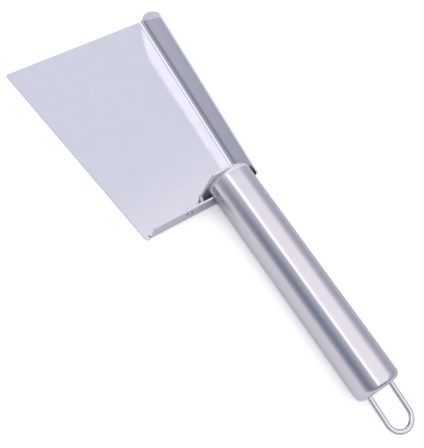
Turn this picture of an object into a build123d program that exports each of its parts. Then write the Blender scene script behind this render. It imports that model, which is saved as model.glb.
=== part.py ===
from build123d import *
import os
from math import asin, atan2, cos, radians, sin, tan

# A grill spatula: a tray-like blade folded from one steel sheet, with a tubular
# handle welded along its right side and a loose wire hanging loop at the rear.
#
# Frame, in millimetres: X to the right (towards the side wall), Y forward (towards
# the blade's front edge), Z up. The origin lies on the blade's underside, straight
# below the centre of the handle's front end.

# ---- sheet metal -------------------------------------------------------------
SHEET = 1.0                     # thickness of the blade sheet
BLADE_FRONT_Y = 113.2           # front edge
BLADE_REAR_Y = -6.0             # rear edge, also the flange's outer face
FRONT_LEFT_X = -66.0
REAR_LEFT_X = -51.7
FRONT_TIP_R = 0.8
REAR_CORNER_R = 2.0

# ---- side wall, folded up along the right side ---------------------------------
WALL_REAR_X = 12.7              # the fold line's sharp inner corner at the rear edge
WALL_FRONT_X = 20.2             # and at the front edge
WALL_LEAN_DEG = 2.5             # the wall leans outwards by this much
WALL_BEND_R = 2.5               # inner bend radius
WALL_REAR_H = 16.0
WALL_FRONT_H = 20.3             # height the top edge would reach at the front edge
WALL_NOSE_BACK = 12.3           # how far the swept front corner cuts back
WALL_NOSE_LOW = 4.5             # height at which that corner starts
WALL_NOSE_R = 27.0

# ---- rear flange, folded up along the rear edge --------------------------------
FLANGE_LEFT_X = -49.2
FLANGE_RIGHT_X = -8.0
FLANGE_TOP_Z = 12.0
FLANGE_BEND_R = 1.2
FLANGE_CORNER_R = 0.6
RELIEF = 0.4                    # slit that frees the end of a fold

# ---- handle ----------------------------------------------------------------------
TUBE_R = 12.25
TUBE_WALL = 1.0
HANDLE_LENGTH = 130.2           # front face to the crown of the rear end face
CAP_LENGTH = 6.0                # each of the two drawn caps
REAR_CAP_EDGE_R = 3.6
FRONT_CAP_EDGE_R = 2.4
CAP_CROWN = 0.35                # how far the end face bulges
TUBE_AXIS_Z = SHEET + TUBE_R    # the tube lies on the blade
SADDLE_GAP = 0.15               # flange cut-out round the tube

# ---- slot and hanging loop ---------------------------------------------------------
WIRE_R = 1.45
LOOP_SPACING = 14.0             # between the centres of the two legs
LOOP_REACH = 23.0               # end face to the outside of the bow
LOOP_DROOP_DEG = 5.0            # hangs down onto the slot's lower edge
LOOP_PIVOT_DEPTH = 3.6          # feet axis, inside the end face
FOOT_REACH = 9.9                # tip of a foot from the middle
FOOT_BEND_R = 1.6
SLOT_LENGTH = 17.4
SLOT_SIDE_PLAY = 0.06           # wire to slot edge at rest

# ---- bracket that closes the tube's front and reaches the flange -----------------
BRACKET_T = 1.2
BRACKET_TOP_LEFT_X = -12.2
BRACKET_FOOT_LEFT_X = -15.2
BRACKET_RIGHT_X = 11.8
BRACKET_FOOT_R = 3.4
BRACKET_CORNER_R = 0.8
BRACKET_SHOULDER_R = 16.0        # rounds the bulkhead down towards the side wall
LEG_END_X = -33.5
LEG_LOW_Z = 3.0
LEG_HIGH_Z = 9.4
LEG_BEND_R = 1.0
JOGGLE_START_X = -14.4           # where the leg starts to step back to the flange
JOGGLE_RUN = 2.0                 # how far it travels left while it steps back
LEG_ROOT = 4.0                   # how far its root runs into the bulkhead
LEG_NECK_X = -17.8               # right of this the leg is cut down to a low neck
LEG_NECK_TOP_Z = 5.0

# ---- rivet through the flange and the bracket's leg -------------------------------
RIVET_X = -26.7
RIVET_Z = 6.8
RIVET_SHANK_R = 1.35
RIVET_HOLE_R = 1.4
RIVET_HEAD_R = 2.1
RIVET_HEAD_H = 1.1
CLENCH_SPREAD = 0.9              # the clenched head against the formed one: width
CLENCH_RISE = 0.8                # and height
SHANK_BITE = 0.2                 # how far the shank runs into each head

# ---- weld beads --------------------------------------------------------------------
BEAD_R = 1.1
BEAD_HALF_RUN = 4.0
WALL_BEAD_RUN = 5.0
FOOT_BEAD_LEG = 1.6
FOOT_BEAD_FACE_R = 2.56          # radius of the bead's rounded face
FOOT_BEAD_INSET = 1.0            # how far it stops short of the bulkhead's edges
RING_START = 0.4                 # past the start of the front cap's rounded edge
RING_R = 12.0                    # ground down just below the tube
RING_CHAMFER = 0.3

# ---- cutting aids: how far a cutter reaches past what it cuts ---------------------------
OVER = 1.0
FAR = 20.0

OUT_DIR = "parts"


def save(solid, name):
    """Writes one node's STEP file."""
    solid.label = name
    export_step(solid, os.path.join(OUT_DIR, name + ".step"))


def wall_frame():
    """Directions of the side wall: along its fold, out of it, and up its face."""
    yaw = atan2(WALL_FRONT_X - WALL_REAR_X, BLADE_FRONT_Y - BLADE_REAR_Y)
    lean = radians(WALL_LEAN_DEG)
    along = Vector(sin(yaw), cos(yaw), 0)
    out = Vector(cos(yaw), -sin(yaw), 0)
    face_normal = out * cos(lean) - Vector(0, 0, 1) * sin(lean)
    return along, out, face_normal


def fold_profile(bend_r, bend_deg, height):
    """Section of a fold: flat sheet at the left, its bend, and the turned-up leg.

    The sharp inner corner is at (0, 0). The section starts where the bend does.
    """
    setback = bend_r * tan(radians(bend_deg) / 2)
    turn = radians(bend_deg)
    centre = Vector(-setback, bend_r)

    def on_arc(radius, angle):
        return centre + Vector(radius * sin(angle), -radius * cos(angle))

    leg = Vector(cos(turn), sin(turn))
    side = Vector(sin(turn), -cos(turn)) * SHEET
    with BuildSketch() as section:
        with BuildLine():
            Line((-setback, -SHEET), (-setback, 0))
            ThreePointArc((-setback, 0), on_arc(bend_r, turn / 2), on_arc(bend_r, turn))
            Line(on_arc(bend_r, turn), leg * height)
            Line(leg * height, leg * height + side)
            Line(leg * height + side, on_arc(bend_r + SHEET, turn))
            ThreePointArc(
                on_arc(bend_r + SHEET, turn),
                on_arc(bend_r + SHEET, turn / 2),
                (-setback, -SHEET),
            )
        make_face()
    return section.sketch, setback


def side_wall():
    """The folded-up side wall with its swept front corner, and its bend's setback."""
    along, out, face_normal = wall_frame()
    corner = Vector(WALL_REAR_X, BLADE_REAR_Y, SHEET)
    length = (BLADE_FRONT_Y - BLADE_REAR_Y) / along.Y
    profile, setback = fold_profile(WALL_BEND_R, 90 - WALL_LEAN_DEG, WALL_FRONT_H + OVER)
    start = corner - along * OVER
    strip = extrude(Plane(start, x_dir=out, z_dir=-along) * profile, -(length + 2 * OVER))

    face = Plane(corner, x_dir=along, z_dir=face_normal)
    nose_x = length - WALL_NOSE_BACK
    rise = (WALL_FRONT_H - WALL_REAR_H) / length
    nose_top = WALL_REAR_H + rise * nose_x
    with BuildSketch(face) as outline:
        with BuildLine():
            Line((-OVER, -FAR), (length + OVER, -FAR))
            Line((length + OVER, -FAR), (length + OVER, WALL_NOSE_LOW))
            Line((length + OVER, WALL_NOSE_LOW), (length, WALL_NOSE_LOW))
            RadiusArc((length, WALL_NOSE_LOW), (nose_x, nose_top), -WALL_NOSE_R)
            Line((nose_x, nose_top), (-OVER, WALL_REAR_H - rise * OVER))
            Line((-OVER, WALL_REAR_H - rise * OVER), (-OVER, -FAR))
        make_face()
    return strip & extrude(outline.sketch, FAR, both=True), setback


def rear_flange():
    """The folded-up rear flange, saddled round the tube, with the rivet's hole."""
    height = FLANGE_TOP_Z - SHEET
    profile, setback = fold_profile(FLANGE_BEND_R, 90, height)
    corner = Vector(FLANGE_LEFT_X, BLADE_REAR_Y + SHEET, SHEET)
    flange = extrude(
        Plane(corner, x_dir=(0, -1, 0), z_dir=(-1, 0, 0)) * profile,
        -(FLANGE_RIGHT_X - FLANGE_LEFT_X),
    )
    top_left = flange.edges().filter_by(Axis.Y).group_by(Axis.Z)[-1].sort_by(Axis.X)[0]
    flange = fillet(top_left, FLANGE_CORNER_R)
    saddle = along_y_cylinder(TUBE_R + SADDLE_GAP, 0, TUBE_AXIS_Z, BLADE_REAR_Y - OVER, FAR)
    hole = along_y_cylinder(RIVET_HOLE_R, RIVET_X, RIVET_Z, BLADE_REAR_Y - OVER, SHEET + 2 * OVER)
    return flange - saddle - hole, setback


def along_y_cylinder(radius, x, z, y_low, length):
    """A solid cylinder that runs along +Y from y_low."""
    base = Plane((x, y_low, z), x_dir=(1, 0, 0), z_dir=(0, 1, 0))
    return extrude(base * Circle(radius), length)


def blade_plate(wall_setback, flange_setback):
    """The flat of the blade, up to where its two folds start."""
    along, out, _ = wall_frame()
    rear_right = Vector(WALL_REAR_X, BLADE_REAR_Y) - out * wall_setback
    slope = along.X / along.Y
    right_rear_x = rear_right.X - slope * (rear_right.Y - BLADE_REAR_Y)
    right_front_x = right_rear_x + slope * (BLADE_FRONT_Y - BLADE_REAR_Y)
    with BuildSketch() as flat:
        with BuildLine():
            Polyline(
                (REAR_LEFT_X, BLADE_REAR_Y),
                (right_rear_x, BLADE_REAR_Y),
                (right_front_x, BLADE_FRONT_Y),
                (FRONT_LEFT_X, BLADE_FRONT_Y),
                close=True,
            )
        make_face()
        fillet(flat.vertices().sort_by(Axis.X)[0], FRONT_TIP_R)
        rear_left = flat.vertices().group_by(Axis.Y)[0].sort_by(Axis.X)[0]
        fillet(rear_left, REAR_CORNER_R)
        fold_start_y = BLADE_REAR_Y + SHEET + flange_setback
        with BuildLine():
            Polyline(
                (FLANGE_LEFT_X - RELIEF, BLADE_REAR_Y - OVER),
                (FLANGE_RIGHT_X + RELIEF, BLADE_REAR_Y - OVER),
                (FLANGE_RIGHT_X + RELIEF, fold_start_y),
                (FLANGE_LEFT_X - RELIEF, fold_start_y),
                close=True,
            )
        make_face(mode=Mode.SUBTRACT)
    return extrude(flat.sketch, SHEET)


def blade_pan():
    """The whole folded sheet: flat blade, side wall and rear flange."""
    wall, wall_setback = side_wall()
    flange, flange_setback = rear_flange()
    plate = blade_plate(wall_setback, flange_setback)
    depth = BLADE_FRONT_Y - BLADE_REAR_Y
    middle_y = BLADE_REAR_Y + depth / 2
    trim = Pos(WALL_FRONT_X, middle_y, 0) * Box(2 * FAR, depth, 4 * FAR)
    return plate + flange + (wall & trim)


def leg_path():
    """Plan line of the bracket's leg: off the bulkhead, back to the flange, along it."""
    near_y = BRACKET_T / 2
    flange_y = BLADE_REAR_Y + SHEET + BRACKET_T / 2
    return FilletPolyline(
        (JOGGLE_START_X + LEG_ROOT, near_y),
        (JOGGLE_START_X, near_y),
        (JOGGLE_START_X - JOGGLE_RUN, flange_y),
        (LEG_END_X, flange_y),
        radius=LEG_BEND_R,
    )


def bulkhead_outline():
    """Outline of the bulkhead, X across and Z up, before its corners are rounded."""
    top_z = TUBE_AXIS_Z + TUBE_R
    return Polyline(
        (BRACKET_FOOT_LEFT_X, SHEET),
        (BRACKET_TOP_LEFT_X, top_z),
        (BRACKET_RIGHT_X, top_z),
        (BRACKET_RIGHT_X, SHEET),
        close=True,
    )


def handle_bracket():
    """Bulkhead across the handle's front end, with a necked, joggled leg to the flange."""
    with BuildSketch(Plane((0, 0, 0), x_dir=(1, 0, 0), z_dir=(0, -1, 0))) as plate:
        with BuildLine():
            bulkhead_outline()
        make_face()
        fillet(plate.vertices().group_by(Axis.Y)[0].sort_by(Axis.X)[-1], BRACKET_FOOT_R)
        fillet(plate.vertices().group_by(Axis.Y)[-1].sort_by(Axis.X)[-1], BRACKET_SHOULDER_R)
        fillet(plate.vertices().group_by(Axis.Y)[-1].sort_by(Axis.X)[0], BRACKET_CORNER_R)
    bulkhead = extrude(plate.sketch, -BRACKET_T)
    path = leg_path()
    section_plane = Plane(path @ 0, x_dir=(0, 1, 0), z_dir=path % 0)
    leg = sweep(section_plane * Rectangle(BRACKET_T, LEG_HIGH_Z - LEG_LOW_Z), path=path)
    leg = Pos(0, 0, (LEG_LOW_Z + LEG_HIGH_Z) / 2) * leg
    above_neck = Pos(LEG_NECK_X + FAR / 2, 0, LEG_NECK_TOP_Z + FAR / 2) * Box(FAR, FAR, FAR)
    leg = leg - above_neck
    hole = along_y_cylinder(RIVET_HOLE_R, RIVET_X, RIVET_Z, BLADE_REAR_Y, SHEET + BRACKET_T + OVER)
    return bulkhead + leg - hole


def dome(radius, height):
    """Face of half a domed head: axis on X, height along X."""
    sphere_r = (radius**2 + height**2) / (2 * height)
    half = asin(radius / sphere_r) / 2
    mid = (height - sphere_r + sphere_r * cos(half), sphere_r * sin(half))
    with BuildSketch() as half_head:
        with BuildLine():
            Line((0, 0), (0, radius))
            ThreePointArc((0, radius), mid, (height, 0))
            Line((height, 0), (0, 0))
        make_face()
    return half_head.sketch


def bracket_rivet():
    """Domed rivet: head on the flange's outer face, clenched head on the leg."""
    grip = SHEET + BRACKET_T
    outer = revolve(dome(RIVET_HEAD_R, RIVET_HEAD_H), Axis.X)
    inner = revolve(dome(RIVET_HEAD_R * CLENCH_SPREAD, RIVET_HEAD_H * CLENCH_RISE), Axis.X)
    outer = Plane((RIVET_X, BLADE_REAR_Y, RIVET_Z), x_dir=(0, -1, 0), z_dir=(0, 0, 1)) * outer
    inner_y = BLADE_REAR_Y + grip
    inner = Plane((RIVET_X, inner_y, RIVET_Z), x_dir=(0, 1, 0), z_dir=(0, 0, 1)) * inner
    shank_y = BLADE_REAR_Y - SHANK_BITE
    shank = along_y_cylinder(RIVET_SHANK_R, RIVET_X, RIVET_Z, shank_y, grip + 2 * SHANK_BITE)
    return outer + shank + inner


def handle_tube():
    """Round steel tube between its two end caps."""
    length = HANDLE_LENGTH - 2 * CAP_LENGTH
    rear_y = CAP_LENGTH - HANDLE_LENGTH
    outer = along_y_cylinder(TUBE_R, 0, TUBE_AXIS_Z, rear_y, length)
    inner = along_y_cylinder(TUBE_R - TUBE_WALL, 0, TUBE_AXIS_Z, rear_y - OVER, length + 2 * OVER)
    return outer - inner


def cap_profile(radius, depth, edge_r, crown):
    """Half section of a crowned cap: axis on X, open end at x = 0."""
    with BuildSketch() as half:
        with BuildLine():
            Line((0, 0), (0, radius))
            Line((0, radius), (depth - edge_r, radius))
            RadiusArc((depth - edge_r, radius), (depth, radius - edge_r), edge_r)
            Line((depth, radius - edge_r), (depth + crown, 0))
            Line((depth + crown, 0), (0, 0))
        make_face()
    return half.sketch


def slot_half_height():
    """Half height of the end slot: the drooped wire just rests on its lower edge."""
    droop = radians(LOOP_DROOP_DEG)
    drop = LOOP_PIVOT_DEPTH * tan(droop)
    return drop + WIRE_R / cos(droop) + SLOT_SIDE_PLAY


def drawn_cap(edge_r, crown):
    """Drawn cap with a rounded edge: axis on X, open end at x = 0."""
    length = CAP_LENGTH - crown
    outer = revolve(cap_profile(TUBE_R, length, edge_r, crown), Axis.X)
    inner_r = TUBE_R - TUBE_WALL
    inner = revolve(cap_profile(inner_r, length - TUBE_WALL, edge_r - TUBE_WALL, crown), Axis.X)
    return outer - inner


def handle_front_cap():
    """Flat cap that closes the tube's front end, against the bracket."""
    seat = Plane((0, -CAP_LENGTH, TUBE_AXIS_Z), x_dir=(0, 1, 0), z_dir=(0, 0, 1))
    return seat * drawn_cap(FRONT_CAP_EDGE_R, 0)


def handle_end_cap():
    """Crowned cap that closes the rear end, with the slot for the loop."""
    seat = Plane((0, CAP_LENGTH - HANDLE_LENGTH, TUBE_AXIS_Z), x_dir=(0, -1, 0), z_dir=(0, 0, 1))
    shell = seat * drawn_cap(REAR_CAP_EDGE_R, CAP_CROWN)
    face = Plane((0, -HANDLE_LENGTH - OVER, TUBE_AXIS_Z), x_dir=(1, 0, 0), z_dir=(0, 1, 0))
    slot = extrude(face * SlotOverall(SLOT_LENGTH, 2 * slot_half_height()), CAP_LENGTH - OVER)
    return shell - slot


def hanging_loop():
    """Bent wire: two outward feet inside the cap, two legs and a round bow."""
    half = LOOP_SPACING / 2
    bow_y = -(LOOP_PIVOT_DEPTH + LOOP_REACH - WIRE_R - half)
    with BuildLine() as line:
        FilletPolyline((-FOOT_REACH, 0), (-half, 0), (-half, bow_y), radius=FOOT_BEND_R)
        ThreePointArc((-half, bow_y), (0, bow_y - half), (half, bow_y))
        FilletPolyline((half, bow_y), (half, 0), (FOOT_REACH, 0), radius=FOOT_BEND_R)
    path = line.wires()[0]
    section = Plane(path @ 0, z_dir=path % 0) * Circle(WIRE_R)
    wire = sweep(section, path=path)
    pivot = Pos(0, -HANDLE_LENGTH + LOOP_PIVOT_DEPTH, TUBE_AXIS_Z)
    return pivot * Rot(LOOP_DROOP_DEG, 0, 0) * wire


def blade_weld_bead():
    """Bead along the blade's rear edge, under the tube."""
    start = Plane((-BEAD_HALF_RUN, BLADE_REAR_Y, 0), x_dir=(0, 1, 0), z_dir=(1, 0, 0))
    run = extrude(start * Circle(BEAD_R), 2 * BEAD_HALF_RUN)
    ends = [Pos(x, BLADE_REAR_Y, 0) * Sphere(BEAD_R) for x in (-BEAD_HALF_RUN, BEAD_HALF_RUN)]
    bead = Pos(0, 0, SHEET) * (run + ends[0] + ends[1])
    tube = along_y_cylinder(TUBE_R, 0, TUBE_AXIS_Z, BLADE_REAR_Y - FAR / 2, FAR)
    plate = Pos(0, BLADE_REAR_Y + FAR / 2, SHEET / 2) * Box(FAR, FAR, SHEET)
    below = Pos(0, BLADE_REAR_Y, -FAR / 2) * Box(FAR, FAR, FAR)
    return bead - tube - plate - below


def wall_weld_bead(pan):
    """Upright bead between the tube's side and the rear end of the side wall."""
    low_z = TUBE_AXIS_Z - WALL_BEAD_RUN
    x = TUBE_R + SHEET / 2
    section = Plane((x, BLADE_REAR_Y, low_z)) * Circle(BEAD_R)
    bead = extrude(section, WALL_BEAD_RUN)
    bead = bead + Pos(x, BLADE_REAR_Y, low_z) * Sphere(BEAD_R)
    bead = bead + Pos(x, BLADE_REAR_Y, TUBE_AXIS_Z) * Sphere(BEAD_R)
    tube = along_y_cylinder(TUBE_R, 0, TUBE_AXIS_Z, BLADE_REAR_Y - FAR / 2, FAR)
    front = Pos(x, BLADE_REAR_Y + FAR / 2, TUBE_AXIS_Z) * Box(FAR, FAR, 2 * FAR)
    return bead - tube - front - pan


def bracket_weld_bead():
    """Fillet bead along the front of the bulkhead's foot."""
    front_y = BRACKET_T
    left_x = BRACKET_FOOT_LEFT_X + FOOT_BEAD_INSET
    right_x = BRACKET_RIGHT_X - BRACKET_FOOT_R - FOOT_BEAD_INSET
    low_end = (front_y + FOOT_BEAD_LEG, SHEET)
    high_end = (front_y, SHEET + FOOT_BEAD_LEG)
    with BuildSketch(Plane((left_x, 0, 0), x_dir=(0, 1, 0), z_dir=(1, 0, 0))) as section:
        with BuildLine():
            Line((front_y, SHEET), low_end)
            RadiusArc(low_end, high_end, -FOOT_BEAD_FACE_R)
            Line(high_end, (front_y, SHEET))
        make_face()
    return extrude(section.sketch, right_x - left_x)


def bulkhead_weld_ring():
    """Weld, ground smooth, that fills the groove between the front cap and the bulkhead."""
    centre = Vector(CAP_LENGTH - FRONT_CAP_EDGE_R, TUBE_R - FRONT_CAP_EDGE_R)
    first = asin(RING_START / FRONT_CAP_EDGE_R)
    middle = (first + radians(90)) / 2

    def on_cap(angle):
        return centre + Vector(sin(angle), cos(angle)) * FRONT_CAP_EDGE_R

    inner = (CAP_LENGTH, TUBE_R - FRONT_CAP_EDGE_R)
    with BuildSketch() as half:
        with BuildLine():
            Line(on_cap(first), (CAP_LENGTH - RING_CHAMFER, RING_R))
            Line((CAP_LENGTH - RING_CHAMFER, RING_R), (CAP_LENGTH, RING_R - RING_CHAMFER))
            Line((CAP_LENGTH, RING_R - RING_CHAMFER), inner)
            ThreePointArc(inner, on_cap(middle), on_cap(first))
        make_face()
    seat = Plane((0, -CAP_LENGTH, TUBE_AXIS_Z), x_dir=(0, 1, 0), z_dir=(0, 0, 1))
    return seat * revolve(half.sketch, Axis.X)


if __name__ == "__main__":
    os.makedirs(OUT_DIR, exist_ok=True)
    pan = blade_pan()
    save(pan, "blade_pan")
    save(handle_bracket(), "handle_bracket")
    save(bracket_rivet(), "bracket_rivet")
    save(handle_tube(), "handle_tube")
    save(handle_front_cap(), "handle_front_cap")
    save(handle_end_cap(), "handle_end_cap")
    save(hanging_loop(), "hanging_loop")
    save(blade_weld_bead(), "blade_weld_bead")
    save(wall_weld_bead(pan), "wall_weld_bead")
    save(bracket_weld_bead(), "bracket_weld_bead")
    save(bulkhead_weld_ring(), "bulkhead_weld_ring")
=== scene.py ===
"""Looks of a stainless steel grill spatula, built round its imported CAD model.

The frame is the CAD model's own, in metres: X to the right (towards the side wall), Y forward, Z up.
The origin is on the blade's underside, below the centre of the handle's front end.
Shapes are worked out in millimetres and go into the meshes in metres.
"""

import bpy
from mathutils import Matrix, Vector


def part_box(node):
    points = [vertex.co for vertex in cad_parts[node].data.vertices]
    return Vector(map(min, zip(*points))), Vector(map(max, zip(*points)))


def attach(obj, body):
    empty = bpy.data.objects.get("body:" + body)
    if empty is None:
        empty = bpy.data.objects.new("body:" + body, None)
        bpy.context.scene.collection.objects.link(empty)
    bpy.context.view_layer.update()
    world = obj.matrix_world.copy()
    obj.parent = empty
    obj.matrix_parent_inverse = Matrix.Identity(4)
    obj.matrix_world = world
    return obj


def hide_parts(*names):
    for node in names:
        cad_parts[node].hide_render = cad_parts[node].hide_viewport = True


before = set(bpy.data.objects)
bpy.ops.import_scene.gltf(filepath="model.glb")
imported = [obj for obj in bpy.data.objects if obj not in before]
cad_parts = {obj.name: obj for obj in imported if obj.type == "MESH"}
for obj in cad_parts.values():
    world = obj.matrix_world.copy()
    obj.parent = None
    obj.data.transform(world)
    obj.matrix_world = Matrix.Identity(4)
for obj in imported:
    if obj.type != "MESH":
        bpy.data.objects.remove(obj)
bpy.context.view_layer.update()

import logging
import math
from dataclasses import dataclass, field
from enum import Enum
from typing import Any, Sequence

import bpy
import numpy as np
from mathutils import Matrix, Vector

MM = 0.001
LOG = logging.getLogger("spatula")
SHEET = 1.0  # thickness of the blade's sheet, mm
ARC_STEPS = 13  # points along each rounded corner
CORNER_EASE = np.sin(np.linspace(0, math.pi / 2, 6))[1:]  # rows up a small round corner, as shares
SKY_PEAK = 3.0  # brightness that the dome's ramps are scaled by
STEEL_BOUNCES = 12  # light bounces between facing steel surfaces
FLOOR_DROP_MM = -0.02  # keeps the floor just clear of the blade


class Body(Enum):
    """The two CAD bodies that pieces ride on."""

    SPATULA = "spatula"
    LOOP = "loop"


class Slot(Enum):
    """Material slots of the record."""

    BLADE = "blade_sheet"
    HANDLE = "handle_steel"
    WIRE = "loop_wire"
    RIVET = "rivet_steel"
    GROUND = "ground_steel"
    WELD = "weld_steel"


# ---- colours and nodes ---------------------------------------------------------------


def linear(hex_code: str) -> tuple[float, float, float, float]:
    """Turns an sRGB hex colour into linear light.

    Args:
        hex_code: six hex digits, with or without a leading hash.

    Returns:
        Red, green, blue and an alpha of 1.
    """
    digits = hex_code.lstrip("#")
    srgb = np.array([int(digits[i : i + 2], 16) for i in (0, 2, 4)]) / 255.0
    low = srgb / 12.92
    high = ((srgb + 0.055) / 1.055) ** 2.4
    red, green, blue = np.where(srgb <= 0.04045, low, high)
    return float(red), float(green), float(blue), 1.0


def add_node(
    tree: bpy.types.NodeTree,
    kind: str,
    settings: dict[str, Any] | None = None,
    values: dict[int | str, Any] | None = None,
    links: dict[int | str, bpy.types.NodeSocket] | None = None,
) -> bpy.types.Node:
    """Adds one node with its settings, socket values and incoming links.

    Args:
        tree: the node tree.
        kind: the node's type name.
        settings: attributes of the node.
        values: default values of its inputs, by name or index.
        links: output sockets that feed its inputs, by name or index.

    Returns:
        The new node.
    """
    node = tree.nodes.new(kind)
    for name, value in (settings or {}).items():
        setattr(node, name, value)
    for key, value in (values or {}).items():
        node.inputs[key].default_value = value
    for key, socket in (links or {}).items():
        tree.links.new(socket, node.inputs[key])
    return node


# ---- meshes ----------------------------------------------------------------------------


@dataclass
class Patch:
    """A grid of points in millimetres, rows by columns by three."""

    points: np.ndarray
    wrap_rows: bool = False
    wrap_columns: bool = False

    def quads(self) -> np.ndarray:
        """Corner numbers of each grid cell, anticlockwise from columns towards rows.

        Returns:
            Four point numbers a row.
        """
        rows, columns = self.points.shape[:2]
        r, c = np.meshgrid(
            np.arange(rows - (not self.wrap_rows)),
            np.arange(columns - (not self.wrap_columns)),
            indexing="ij",
        )
        r_next = (r + 1) % rows
        c_next = (c + 1) % columns
        cells = [r * columns + c, r * columns + c_next, r_next * columns + c_next, r_next * columns + c]
        return np.stack(cells, axis=-1).reshape(-1, 4)


def weld(points: np.ndarray, quads: np.ndarray) -> tuple[np.ndarray, np.ndarray, np.ndarray]:
    """Merges points that share a place, and turns quads that lose a corner into triangles.

    Args:
        points: all points, in millimetres.
        quads: four point numbers a row.

    Returns:
        The points that are left, the quads and the triangles.
    """
    _, first, number = np.unique(np.round(points, 5), axis=0, return_index=True, return_inverse=True)
    faces = number.reshape(-1)[quads]
    lost = faces == np.roll(faces, -1, axis=1)
    whole = faces[~lost.any(axis=1)]
    single = lost.sum(axis=1) == 1
    corner = np.argmax(lost[single], axis=1)
    order = (corner[:, None] + np.arange(1, 4)[None, :]) % 4
    triangles = np.take_along_axis(faces[single], order, axis=1)
    return points[first], whole, triangles


def make_piece(name: str, patches: Sequence[Patch], sharp_deg: float = 32.0) -> bpy.types.Object:
    """Makes one smooth-shaded mesh object from grids that share their seams.

    Args:
        name: the piece's name.
        patches: the grids, in millimetres.
        sharp_deg: edges that turn by more than this stay sharp.

    Returns:
        The new object, at the origin.
    """
    points = np.concatenate([patch.points.reshape(-1, 3) for patch in patches])
    starts = np.cumsum([0] + [patch.points[..., 0].size for patch in patches[:-1]])
    quads = np.concatenate([patch.quads() + start for patch, start in zip(patches, starts)])
    points, whole, triangles = weld(points, quads)
    mesh = bpy.data.meshes.new(name)
    mesh.from_pydata((points * MM).tolist(), [], whole.tolist() + triangles.tolist())
    mesh.polygons.foreach_set("use_smooth", np.ones(len(mesh.polygons), dtype=bool))
    mesh.set_sharp_from_angle(angle=math.radians(sharp_deg))
    mesh.update()
    piece = bpy.data.objects.new(name, mesh)
    bpy.context.scene.collection.objects.link(piece)
    return piece


def box_mm(node: str) -> tuple[np.ndarray, np.ndarray]:
    """Lowest and highest corner of a CAD node, in millimetres."""
    low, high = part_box(node)
    return np.array(low) / MM, np.array(high) / MM


def rounded_line(corners: Sequence[tuple[float, float]], radii: Sequence[float], closed: bool) -> np.ndarray:
    """A line of straight runs whose corners are rounded by tangent arcs.

    At a corner that turns by an angle t, the arc of radius r starts r tan(t/2) before the corner,
    and its points turn evenly about the centre.

    Args:
        corners: the sharp corners, in order.
        radii: one radius for each corner; the ends of an open line take none.
        closed: whether the line comes back to its start.

    Returns:
        Points along the line, two numbers each.
    """
    places = np.array(corners, dtype=float)
    pieces = []
    for i, (place, radius) in enumerate(zip(places, radii)):
        if not closed and i in (0, len(places) - 1):
            pieces.append(place[None, :])
            continue
        before = places[i - 1] - place
        after = places[(i + 1) % len(places)] - place
        before = before / np.linalg.norm(before)
        after = after / np.linalg.norm(after)
        half = math.acos(float(np.clip(before @ after, -1, 1))) / 2
        centre_way = (before + after) / np.linalg.norm(before + after)
        centre = place + centre_way * radius / math.sin(half)
        spread = np.linspace(-1, 1, ARC_STEPS) * (math.pi / 2 - half)
        side = np.array([-centre_way[1], centre_way[0]])
        side = side if side @ after > 0 else -side
        reach = -np.outer(np.cos(spread), centre_way) + np.outer(np.sin(spread), side)
        pieces.append(centre + radius * reach)
    return np.concatenate(pieces)


def sweep_flat(path: np.ndarray, section: np.ndarray) -> np.ndarray:
    """Carries a section along a line that lies in a plane.

    Each section point (u, v) goes u across the line, in its plane, and v out of the plane.

    Args:
        path: points of the line, two numbers each.
        section: points of the section, two numbers each.

    Returns:
        A grid with a row for each path point, as (first axis, second axis, out of plane).
    """
    along = np.gradient(path, axis=0)
    along = along / np.linalg.norm(along, axis=1, keepdims=True)
    across = np.stack([-along[:, 1], along[:, 0]], axis=1)
    flat = path[:, None, :] + across[:, None, :] * section[None, :, :1]
    out = np.broadcast_to(section[None, :, 1:], (len(path), len(section), 1))
    return np.concatenate([flat, out], axis=2)


def close_ends(grid: np.ndarray) -> np.ndarray:
    """Adds a row at each end of a swept grid, gathered on that end's middle.

    Args:
        grid: the swept grid.

    Returns:
        The grid with two rows more.
    """
    first = np.broadcast_to(grid[0].mean(axis=0), grid[0].shape)
    last = np.broadcast_to(grid[-1].mean(axis=0), grid[-1].shape)
    return np.concatenate([first[None], grid, last[None]])


def circle(radius: float, steps: int) -> np.ndarray:
    """Points of a circle about zero, two numbers each."""
    angle = np.linspace(0, 2 * math.pi, steps, endpoint=False)
    return np.stack([radius * np.cos(angle), radius * np.sin(angle)], axis=1)


def turned(
    profile_y: np.ndarray, profile_r: np.ndarray, centre: tuple[float, float], angle: np.ndarray
) -> np.ndarray:
    """A profile turned about a line along Y.

    A point at (y, r) and angle a goes to x = r cos a, z = r sin a from the centre line.

    Args:
        profile_y: places along Y, one a row.
        profile_r: distances from the line, a row each, or a grid with a column for each angle.
        centre: X and Z of the line.
        angle: the angles, one a column.

    Returns:
        A grid of points.
    """
    radius = profile_r if profile_r.ndim == 2 else profile_r[:, None]
    y = profile_y if profile_y.ndim == 2 else profile_y[:, None]
    x = centre[0] + radius * np.cos(angle)[None, :]
    z = centre[1] + radius * np.sin(angle)[None, :]
    return np.stack(np.broadcast_arrays(x, y, z), axis=-1)


def arc(centre: tuple[float, float], radius: float, start_deg: float, end_deg: float) -> np.ndarray:
    """Points of an arc, two numbers each."""
    angle = np.radians(np.linspace(start_deg, end_deg, ARC_STEPS))
    return np.stack([centre[0] + radius * np.cos(angle), centre[1] + radius * np.sin(angle)], axis=1)


# ---- finishes --------------------------------------------------------------------------


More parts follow.
